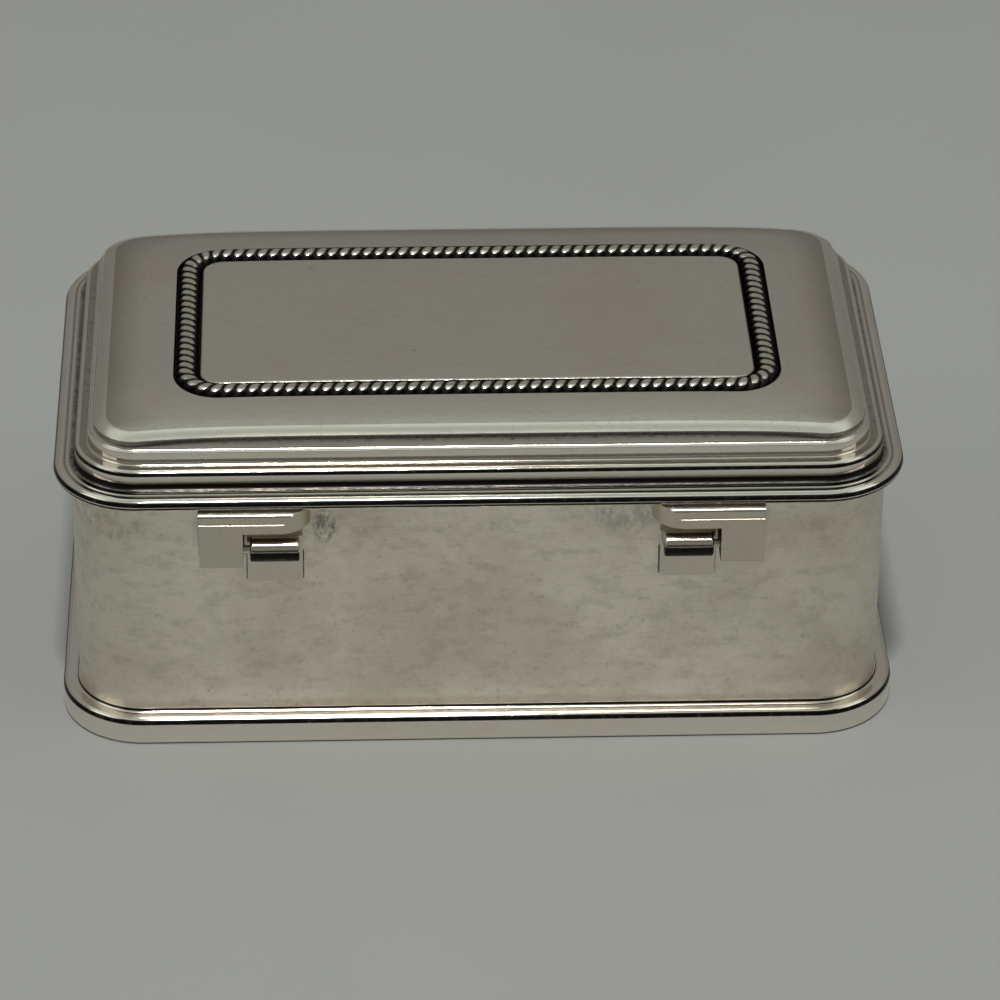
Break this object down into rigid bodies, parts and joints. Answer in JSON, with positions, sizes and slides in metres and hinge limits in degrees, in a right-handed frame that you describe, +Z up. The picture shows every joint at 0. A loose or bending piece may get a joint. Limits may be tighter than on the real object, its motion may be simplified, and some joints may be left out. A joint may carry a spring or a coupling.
{
  "type": "trinket box",
  "caption": "Rectangular plated metal trinket box with rounded corners, a stepped lid with a roped border set in a channel, stop hinges at the back and a padded lining.",
  "frame": {"origin": "on the table plane, under the middle of the overall bounding box with the hinges included", "axes": "+Z up; +X along the long side; +Y towards the back, where the hinges are; the lid opens from the front, -Y"},
  "size_m": [0.11, 0.0666, 0.0459],
  "materials": {
    "silver_satin": "silver plate, satin from wear, with fine pits and faint tarnish",
    "silver_polished": "silver plate, polished on the mouldings, dark in the hollows",
    "rope_silver": "silver plate over roped wire, blackened between the strands",
    "pin_steel": "drawn wire",
    "velvet": "short pile velvet over board, dark wine red (a guess)"
  },
  "bodies": {
    "body": {"body_wall": "silver_satin", "bottom_plate": "silver_satin", "base_moulding": "silver_polished", "bezel": "silver_satin", "hinge_body_leaf_right": "silver_satin", "hinge_body_leaf_left": "silver_satin", "hinge_pin_right": "pin_steel", "hinge_pin_left": "pin_steel", "floor_pad": "velvet", "lining_front": "velvet", "lining_back": "velvet", "lining_left": "velvet", "lining_right": "velvet"},
    "lid": {"lid_rim": "silver_polished", "lid_frame": "silver_polished", "lid_cover": "silver_satin", "rope_border": "rope_silver", "hinge_lid_leaf_right": "silver_satin", "hinge_lid_leaf_left": "silver_satin", "lid_pad": "velvet"}
  },
  "joints": [
    {"name": "lid_hinge", "type": "hinge", "parent": "body", "child": "lid", "pos_m": [0, 0.03152, 0.0301], "axis": [-1, 0, 0], "range_deg": [0, 98]}
  ]
}
